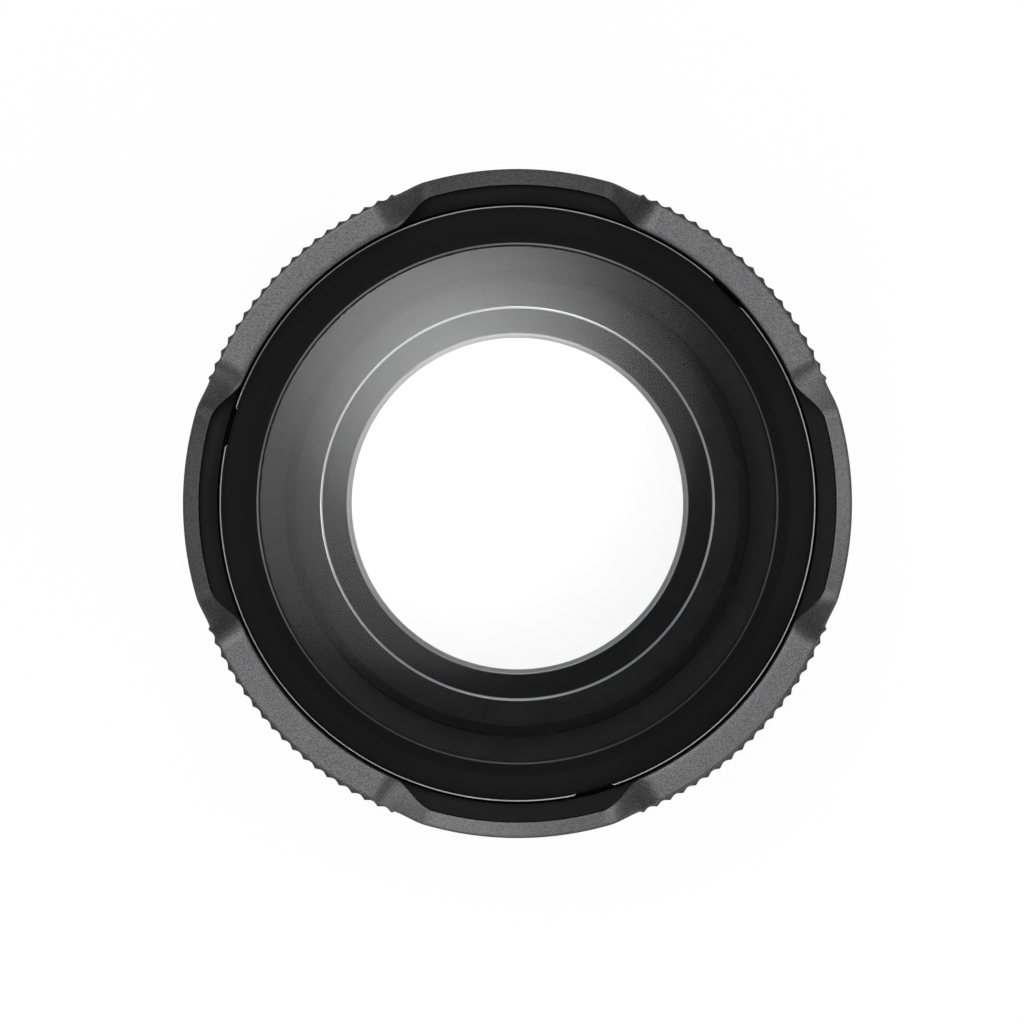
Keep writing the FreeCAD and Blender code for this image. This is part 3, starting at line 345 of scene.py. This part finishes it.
def bevel(mesh, edges, width, segments):
    """Rounds edges, or chamfers them where there is one segment."""
    bmesh.ops.bevel(mesh, geom=edges, offset=width, offset_type="OFFSET", segments=segments,
                    profile=0.5, affect="EDGES", clamp_overlap=True, material=-1)


def into_scene(mesh, name, materials, body, replaced):
    """Makes a mesh into a piece of the frame's body, in place of the CAD nodes it replaces."""
    mesh.normal_update()
    data = bpy.data.meshes.new(name)
    mesh.to_mesh(data)
    mesh.free()
    data.set_sharp_from_angle(angle=SMOOTH_BELOW)
    for material in materials:
        data.materials.append(material)
    piece = bpy.data.objects.new(name, data)
    bpy.context.scene.collection.objects.link(piece)
    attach(piece, body)
    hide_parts(*replaced)
    return piece


def spun(profile, steps, closed=True, painted=None):
    """A profile of radii and heights turned a whole turn.

    Each corner keeps its number in the profile in the layer "row", which is returned too.
    painted gives the material of the band that starts at a corner's number."""
    mesh = bmesh.new()
    row = mesh.verts.layers.int.new("row")
    corners = []
    for number, (radius, height) in enumerate(profile):
        corner = mesh.verts.new((radius, 0, height))
        corner[row] = number
        corners.append(corner)
    edges = [mesh.edges.new(pair) for pair in zip(corners, corners[1:])]
    if closed:
        edges.append(mesh.edges.new((corners[-1], corners[0])))
    bmesh.ops.spin(mesh, geom=corners + edges, cent=(0, 0, 0), axis=(0, 0, 1), dvec=(0, 0, 0),
                   angle=math.tau, steps=steps, use_merge=True, use_normal_flip=False,
                   use_duplicate=False)
    clean(mesh, SAME_SPUN_CORNER)
    last = len(profile) - 1
    for face in mesh.faces:
        face.smooth = True
        rows = sorted({corner[row] for corner in face.verts})
        if painted and len(rows) == 2:
            start = rows[0] if rows != [0, last] else last
            face.material_index = painted.get(start, 0)
    return mesh, row


def polished_copy(name, cad, width, finishes, body, bright=None, chamfer=None):
    """A copy of a CAD node with its doubles merged, flat faces joined and small rounded edges.

    bright tells from a face's inner radius, outer radius and upward part if it has the second
    finish. chamfer is the radius and the height of one round edge, and the width of the chamfer
    that it gets first."""
    mesh = bmesh.new()
    mesh.from_mesh(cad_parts[cad].data)
    clean(mesh, SAME_CAD_CORNER)
    bmesh.ops.dissolve_limit(mesh, angle_limit=JOIN_BELOW, use_dissolve_boundaries=False,
                             verts=mesh.verts, edges=mesh.edges, delimit=set())
    if chamfer:
        radius, height, wide = chamfer
        ring = [edge for edge in mesh.edges if len(edge.link_faces) == 2 and all(
            abs(math.hypot(corner.co.x, corner.co.y) - radius) < HAIR
            and abs(corner.co.z - height) < HAIR for corner in edge.verts)]
        bevel(mesh, ring, wide, 1)
    sharp = [edge for edge in mesh.edges
             if len(edge.link_faces) == 2 and edge.calc_face_angle() > ROUND_ABOVE]
    if sharp and width:
        bevel(mesh, sharp, width, 2)
    clean(mesh, SAME_CAD_CORNER)
    for face in mesh.faces:
        face.smooth = True
        if bright:
            radii = [math.hypot(corner.co.x, corner.co.y) for corner in face.verts]
            face.material_index = 1 if bright(min(radii), max(radii), face.normal.z) else 0
    return into_scene(mesh, name, [FINISHES[key] for key in finishes], body, [cad])


# The grip ring

def lobe_angle(turn):
    """The angle in radians from the nearest lobe's middle."""
    quarter = math.tau / QUARTERS
    return abs((turn + quarter / 2) % quarter - quarter / 2)


class LensGrip(bpy.types.Operator):
    """The grip ring with four knurled pads and four sloping lobes."""
    bl_idname = "lens.grip"
    bl_label = "Grip ring"

    ribs = 19
    steps_per_rib = 10
    rib_half_width = 3.8                 # in steps
    steps = 1440
    lobe_end_start = math.radians(16)    # from here the outer edge draws in towards a lobe's end
    lobe_end_width = math.radians(5.6)
    pad_start = math.radians(21.9)
    lobe_fillet = 0.4                    # the inner fillet on a lobe, as a share of that on a pad
    fillet_turns = 0, 30, 60, 90
    top_shares = 0.15, 0.35, 0.55, 0.75, 0.9, 1.0
    bevel_corners = (0.7, 0.35, 0.4), (1, 1, 0.6)    # across, down, and further down on a lobe
    knurl_drop = 0.05 * MM               # the least step from the bevel to the ribs
    foot_chamfer = 0.15 * MM
    # 1 is a near-black finish with painted shade on the outer part of the top's bevel, the step
    # below it and the ribs' sloping ends, 2 the knurl's, by the corner of the outline where a band
    # starts
    finish_of_row = {13: 1, 14: 1, 15: 1, 16: 2, 17: 2, 18: 2, 19: 2}

    def turn_of(self, size, index):
        """Columns are set so that each rib of the knurl has the same number of them."""
        quarter_steps = self.steps // QUARTERS
        quarter, within = divmod(index, quarter_steps)
        pad_steps = self.ribs * self.steps_per_rib
        pad = self.ribs * size.knurl_pitch
        middle = math.tau / QUARTERS * (quarter + 0.5)
        if within <= pad_steps:
            return middle + pad * (within / pad_steps - 0.5)
        rest = (within - pad_steps) / (quarter_steps - pad_steps)
        return middle + pad / 2 + (math.tau / QUARTERS - pad) * rest

    def knurl(self, size, index):
        """The outer radius of the ribs at one column."""
        within = index % (self.steps // QUARTERS)
        if within > self.ribs * self.steps_per_rib:
            return size.knurl_tip
        off = abs((within % self.steps_per_rib) - self.steps_per_rib / 2)
        rise = max(0.0, 1 - off / self.rib_half_width)
        return mix(size.knurl_valley, size.knurl_tip, rise)

    def section(self, size, levels, index):
        """The closed outline of the ring at one column: inner wall, top, outer wall, foot."""
        foot, ledge, top = levels
        away = lobe_angle(self.turn_of(size, index))
        on_pad = away > self.pad_start
        sweep = blend((away - size.sweep_start) / (size.sweep_end - size.sweep_start))
        inner = mix(size.bore, size.crown_bore, sweep)
        rise = soft_ramp((away - size.slope_foot) / (size.slope_top - size.slope_foot))
        seat = size.bore - HAIR

        def height(radius):
            """The top face, which climbs from a tilted lobe to a level pad."""
            lobe = top - size.lobe_drop - (radius - seat) * math.tan(size.lobe_tilt)
            return mix(lobe, top, rise)

        fall = blend((away - self.lobe_end_start) / self.lobe_end_width)
        lobe_edge = mix(size.lobe_radius, size.lobe_end_radius, fall)
        wall = self.knurl(size, index) if on_pad else lobe_edge
        plain = size.knurl_tip if on_pad else lobe_edge
        shoulder = top - size.knurl_shoulder
        up = min(max((height(size.face_radius) - shoulder) / (top - shoulder), 0.0), 1.0)
        face = mix(wall - size.lobe_edge, size.face_radius, up)
        edge = mix(size.lobe_edge, size.face_bevel, up)
        soft = size.inner_fillet * mix(self.lobe_fillet, 1, rise)
        outline = [(size.bore, foot), (size.bore, ledge), (inner, ledge)]
        for turn in self.fillet_turns:
            inward = inner + soft * (1 - math.cos(math.radians(turn)))
            outline.append((inward, height(inward) - soft * (1 - math.sin(math.radians(turn)))))
        start = outline[-1][0]
        for share in self.top_shares:
            radius = mix(start, face, share)
            outline.append((radius, height(radius)))
        for across, down, lobe_down in self.bevel_corners:
            outline.append((face + edge * across,
                            height(face) - edge * down - (1 - up) * edge * lobe_down))
        rim, lowest = outline[-1]
        knurl_top = min(shoulder, lowest - self.knurl_drop)
        knurl_foot = foot + size.knurl_margin
        return outline + [
            (rim, knurl_top),
            (wall, knurl_top - (size.knurl_slope if on_pad else HAIR)),
            (wall, knurl_foot),
            (plain, knurl_foot - HAIR),
            (plain, foot + self.foot_chamfer),
            (plain - self.foot_chamfer, foot),
        ]

    def execute(self, context):
        size = sizes("grip")
        foot, top = [corner.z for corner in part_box("focus_ring")]
        levels = foot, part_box("cam_sleeve")[HIGH].z, top
        columns = [self.section(size, levels, index) for index in range(self.steps)]
        mesh, row = spun(columns[0], self.steps, painted=self.finish_of_row)
        step = math.tau / self.steps
        for corner in mesh.verts:
            index = round((math.atan2(corner.co.y, corner.co.x) % math.tau) / step) % self.steps
            radius, height = columns[index][corner[row]]
            turn = self.turn_of(size, index)
            corner.co = (radius * math.cos(turn), radius * math.sin(turn), height)
        clean(mesh, SAME_SPUN_CORNER)
        # the second finish is the painted shade on the bevel's outer part and the ribs' sloping
        # ends
        into_scene(mesh, "grip_ring", [FINISHES[key] for key in ("blasted", "cut", "knurl")],
                   "focus", ["focus_ring"])
        return {"FINISHED"}


# The bezel, the glasses and the rings inside

class LensBezel(bpy.types.Operator):
    """The front bezel with its facet, plain band and notched rim."""
    bl_idname = "lens.bezel"
    bl_label = "Front bezel"

    steps = 720
    notches = 3
    glass_room = 0.04 * MM          # between the glass and the bezel
    rim_slope = 0.03 * MM           # the slope inside the rim: its width, its top and its foot
    rim_slope_top = 0.06 * MM
    rim_slope_foot = 0.09 * MM
    facet_ease = 0.008 * MM         # how far the facet's edges are rounded
    # 1 is the rim's finish and 2 the mouth's, by the corner of the profile where a band starts
    finish_of_row = {2: 1, 3: 1, 11: 2}
    notched_rows = 2, 3, 4

    def execute(self, context):
        size = sizes("bezel")
        low, high = [corner.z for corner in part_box("front_bezel")]
        band = high - size.rim_height
        glass_top = band - size.lip
        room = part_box("front_lens")[HIGH].x + self.glass_room
        edge_height = band - size.facet_drop
        corner_drop = size.edge_radius - size.mouth
        profile = [
            (room, low),
            (size.radius, low),
            (size.radius, high - HAIR),
            (size.radius - HAIR, high),
            (size.radius - size.rim_land, high),
            (size.rim_radius + self.rim_slope, high - self.rim_slope_top),
            (size.rim_radius, high - self.rim_slope_foot),
            (size.rim_radius, band),
            (size.facet_radius + HAIR, band),
            (size.facet_radius - HAIR, band - self.facet_ease),
            (size.edge_radius + HAIR, edge_height + self.facet_ease),
            (size.edge_radius, edge_height),
            (size.mouth, edge_height - corner_drop),
            (size.mouth, glass_top),
            (room, glass_top),
        ]
        mesh, row = spun(profile, self.steps, painted=self.finish_of_row)
        apart = math.tau / self.notches
        for corner in mesh.verts:
            turn = math.atan2(corner.co.y, corner.co.x)
            off = abs((turn - size.notch_first + apart / 2) % apart - apart / 2)
            if off < size.notch_half and corner[row] in self.notched_rows:
                radius = math.hypot(corner.co.x, corner.co.y)
                factor = min(radius, size.radius - size.notch_depth) / radius
                corner.co = (corner.co.x * factor, corner.co.y * factor, corner.co.z)
        into_scene(mesh, "front_bezel_ring", [FINISHES[key] for key in ("bezel", "rim", "edge")],
                   "front", ["front_bezel"])
        return {"FINISHED"}


def dome_profile(node_name, dome, curve):
    """The outline of half a lens: flat rear, ground rim, polished dome."""
    low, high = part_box(node_name)
    crown = high.z

    def height(radius):
        return crown - (curve - math.sqrt(curve ** 2 - radius ** 2))

    radii = [dome - DOME_EDGE] + [dome * (1 - row / DOME_ROWS) for row in range(1, DOME_ROWS)]
    flat = [(0, low.z), (high.x, low.z), (high.x, height(dome)), (dome, height(dome))]
    return flat + [(radius, height(radius)) for radius in radii] + [(0, crown)]


class LensGlasses(bpy.types.Operator):
    """The front glass and the rear glass."""
    bl_idname = "lens.glasses"
    bl_label = "Glasses"

    steps = 256

    def execute(self, context):
        size = sizes("glass")
        glasses = (
            ("front_glass", "front_lens", size.front_dome, size.front_curve, "glass", "front"),
            ("rear_glass", "rear_lens", size.rear_dome, size.rear_curve, "rear_glass", "housing"))
        for name, cad, dome, curve, polish, body in glasses:
            profile = dome_profile(cad, dome, curve)
            painted = dict.fromkeys(range(FLAT_CORNERS, len(profile) - 1), 1)
            mesh, _ = spun(profile, self.steps, closed=False, painted=painted)
            glass = into_scene(mesh, name, [FINISHES["clear"], FINISHES[polish]], body, [cad])
            glass.visible_shadow = False
        return {"FINISHED"}


class LensInnerRings(bpy.types.Operator):
    """The rings seen through the front glass, and the sleeve's ledge."""
    bl_idname = "lens.inner_rings"
    bl_label = "Inner rings"

    chamfer_width = 0.22 * MM       # the bare chamfer on the baffle ring
    chamfer_upward = 0.2, 0.95      # the upward parts between which a face is a chamfer
    lip_width = 0.06 * MM           # the bare lip round the rear glass
    faces_down = -0.5               # the upward part of a face that looks to the rear

    def execute(self, context):
        size = sizes("rings")
        edge = size.edge
        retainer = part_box("rear_retainer")[HIGH].x
        chamfer = retainer + self.chamfer_width
        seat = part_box("rear_lens")[HIGH].x + self.lip_width
        least, most = self.chamfer_upward

        def bare_lip(inner, outer, upward):
            return outer < seat + edge and upward > self.faces_down

        def bare_chamfer(inner, outer, upward):
            return retainer < inner and outer < chamfer and least < upward < most

        lens_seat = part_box("rear_lens")[LOW].z
        polished_copy("rear_cell_ring", "rear_cell", edge, ["baffle", "lip"], "housing",
                      bare_lip, (size.lip_radius, lens_seat, size.lip_chamfer))
        polished_copy("rear_retainer_ring", "rear_retainer", edge, ["smooth"], "housing")
        polished_copy("baffle_plate", "baffle_ring", edge, ["baffle", "bare"], "housing",
                      bare_chamfer)
        polished_copy("front_cell_tube", "front_cell", edge, ["matt"], "front")
        polished_copy("cam_sleeve_ring", "cam_sleeve", edge, ["ledge"], "focus")
        return {"FINISHED"}


# The clip and what is hidden

class LensClip(bpy.types.Operator):
    """The clip housing, its screws and the two jaws, with rounded moulded edges."""
    bl_idname = "lens.clip"
    bl_label = "Clip"

    screws = 4
    jaw_rounding = 3                # in ring edges
    screw_rounding = 2

    def execute(self, context):
        size = sizes("rings")
        polished_copy("clip_housing", "clip_body", size.moulded_edge, ["moulding"], "housing")
        jaw_edge = size.edge * self.jaw_rounding
        polished_copy("right_jaw", "clip_right", jaw_edge, ["jaw"], "jaw_right")
        polished_copy("left_jaw", "clip_left", jaw_edge, ["jaw"], "jaw_left")
        for number in range(1, self.screws + 1):
            polished_copy("screw_%d" % number, "case_screw_%d" % number,
                          size.edge * self.screw_rounding, ["screw"], "housing")
        return {"FINISHED"}


class LensSprings(bpy.types.Operator):
    """The jaws' coil springs, copied from the CAD, each with a mesh of its own."""
    bl_idname = "lens.springs"
    bl_label = "Jaw springs"

    def execute(self, context):
        size = sizes("springs")
        for side, sign in (("right", 1), ("left", -1)):
            for letter in "ab":
                node_name = "clip_spring_%s_%s" % (side, letter)
                piece = polished_copy("%s_spring_%s" % (side, letter), node_name, 0, ["steel"],
                                      "housing")
                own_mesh(piece)
        return {"FINISHED"}


class LensHiddenParts(bpy.types.Operator):
    """Finishes for the parts that are used as they come from the CAD."""
    bl_idname = "lens.hidden_parts"
    bl_label = "Hidden parts"

    def execute(self, context):
        kinds = (("cam_pin", "pin"), ("cam_roller", "brass"), ("barrel", "barrel"),
                 ("sleeve_retainer", "barrel"), ("thrust_washer", "washer"))
        for name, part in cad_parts.items():
            for start, key in kinds:
                if name.startswith(start):
                    part.data.materials.clear()
                    part.data.materials.append(FINISHES[key])
        return {"FINISHED"}


class LensStage(bpy.types.Operator):
    """The white floor, the lamps and the camera."""
    bl_idname = "lens.stage"
    bl_label = "Stage"

    floor_gap = 0.05 * MM           # from the lens's rear face down to the floor
    floor_steps = 96
    floor_ring = 0.4                # radius of the floor's inner ring, as a share of the floor's
    floor_white = 0.88
    floor_glow = 0.96               # how much of the floor's look is an even white of its own
    # name, radiance, half angle seen from the lens, distance in metres, tilt, turn, beam
    lamps = (
        ("soft_box", 3.3, 26, 0.62, 12.4, 131, 30),
        ("soft_box_heart", 6.8, 18.2, 0.6, 13.8, 113, 18),
        ("side_box", 2.5, 23, 0.7, 62, -50),
        ("right_box", 4.4, 15.5, 0.72, 60, 5),
        ("lower_box", 4.8, 16, 0.72, 61, -102),
        ("upper_box", 1.5, 15.5, 0.72, 60, 90),
        ("left_box", 1.5, 15.5, 0.72, 60, 180),
    )
    room_light = 0.1
    sensor = 36                     # millimetres, as the camera has them
    frame_below_pads = 1.6 * MM     # the level where half_frame is measured
    sight = 10                      # metres that the camera sees

    def floor(self):
        """A round white floor. The camera, reflections and the glasses see it in an even white."""
        size = sizes("stage")
        level = -self.floor_gap
        radii = 0, size.floor_radius * self.floor_ring, size.floor_radius
        mesh, _ = spun([(radius, level) for radius in radii], self.floor_steps, closed=False)
        data = bpy.data.meshes.new("stage_floor")
        mesh.to_mesh(data)
        mesh.free()
        material = finish("Stage_white", [self.floor_white] * 3, 0.9, 0.0, 0.0)
        nodes = material.node_tree.nodes
        glow = node(material, "ShaderNodeEmission", Strength=1.0)
        path = node(material, "ShaderNodeLightPath")
        seen = node(material, "ShaderNodeMath", operation="MAXIMUM")
        any_seen = node(material, "ShaderNodeMath", operation="MAXIMUM")
        share = node(material, "ShaderNodeMath", operation="MULTIPLY")
        share.inputs[1].default_value = self.floor_glow
        mixed = node(material, "ShaderNodeMixShader")
        link(material, path, "Is Camera Ray", seen, 0)
        link(material, path, "Is Glossy Ray", seen, 1)
        link(material, seen, 0, any_seen, 0)
        link(material, path, "Is Transmission Ray", any_seen, 1)
        link(material, any_seen, 0, share, 0)
        link(material, share, 0, mixed, 0)
        link(material, nodes["Principled BSDF"], 0, mixed, 1)
        link(material, glow, 0, mixed, 2)
        link(material, mixed, 0, nodes["Material Output"], "Surface")
        data.materials.append(material)
        floor = bpy.data.objects.new("stage_floor", data)
        bpy.context.scene.collection.objects.link(floor)

    def lamp(self, name, radiance, half_angle, distance, tilt, turn, beam=None):
        """A round soft lamp aimed at the lens from a tilt off the axis and a turn round it.

        beam is the angle off the lamp's axis at which its light has faded to nothing. The energy
        makes up for the fading, so that the radiance straight ahead is the one given."""
        radius = distance * math.tan(math.radians(half_angle))
        data = bpy.data.lights.new(name, "AREA")
        data.shape = "DISK"
        data.size = radius * 2
        data.energy = radiance * math.pi * math.pi * radius ** 2
        if beam:
            beam = math.radians(beam)
            data.spread = beam * 2
            data.energy *= 1 - beam / math.tan(beam)
        made = bpy.data.objects.new(name, data)
        tilt, turn = math.radians(tilt), math.radians(turn)
        way = Vector((math.sin(tilt) * math.cos(turn), math.sin(tilt) * math.sin(turn),
                      math.cos(tilt)))
        made.location = way * distance
        made.rotation_mode = "QUATERNION"
        made.rotation_quaternion = way.to_track_quat("Z", "Y")
        made.visible_camera = False
        bpy.context.scene.collection.objects.link(made)

    def execute(self, context):
        size = sizes("stage")
        scene = context.scene
        self.floor()
        for lamp in self.lamps:
            self.lamp(*lamp)
        world = bpy.data.worlds.new("Room")
        world.use_nodes = True
        world.node_tree.nodes["Background"].inputs["Color"].default_value = (1, 1, 1, 1)
        world.node_tree.nodes["Background"].inputs["Strength"].default_value = self.room_light
        scene.world = world
        camera = bpy.data.objects.new("Camera", bpy.data.cameras.new("Camera"))
        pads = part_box("focus_ring")[HIGH].z
        away = size.camera_height - pads + self.frame_below_pads
        camera.location = (size.camera_x, size.camera_y, size.camera_height)
        camera.data.sensor_width = self.sensor
        camera.data.lens = self.sensor / 2 * away / size.half_frame
        camera.data.clip_end = self.sight
        scene.collection.objects.link(camera)
        scene.camera = camera
        scene.view_settings.view_transform = "Standard"
        return {"FINISHED"}


GROUPS = {"grip": GripSizes, "bezel": BezelSizes, "glass": GlassSizes, "rings": RingSizes,
          "springs": SpringSizes, "finishes": Finishes, "stage": StageSizes}
OPERATORS = (LensGrip, LensBezel, LensGlasses, LensInnerRings, LensClip, LensSprings,
             LensHiddenParts, LensStage)


class LensPanel(bpy.types.Panel):
    """The sizes and the pieces of the macro lens."""
    bl_idname = "VIEW3D_PT_macro_lens"
    bl_label = "Macro lens"
    bl_space_type = "VIEW_3D"
    bl_region_type = "UI"
    bl_category = "Macro lens"

    def draw(self, context):
        for operator in OPERATORS:
            self.layout.operator(operator.bl_idname)
        for name, group in GROUPS.items():
            box = self.layout.box()
            box.label(text=name.capitalize())
            for key in group.__annotations__:
                box.prop(getattr(context.scene, "lens_" + name), key)


def register():
    for group in GROUPS.values():
        bpy.utils.register_class(group)
    for name, group in GROUPS.items():
        setattr(bpy.types.Scene, "lens_" + name, bpy.props.PointerProperty(type=group))
    for operator in OPERATORS:
        bpy.utils.register_class(operator)
    bpy.utils.register_class(LensPanel)


def unregister():
    bpy.utils.unregister_class(LensPanel)
    for operator in reversed(OPERATORS):
        bpy.utils.unregister_class(operator)
    for name in GROUPS:
        delattr(bpy.types.Scene, "lens_" + name)
    for group in GROUPS.values():
        bpy.utils.unregister_class(group)


def main():
    register()
    make_finishes()
    for operator in OPERATORS:
        group, name = operator.bl_idname.split(".")
        getattr(getattr(bpy.ops, group), name)()


if __name__ == "__main__":
    main()
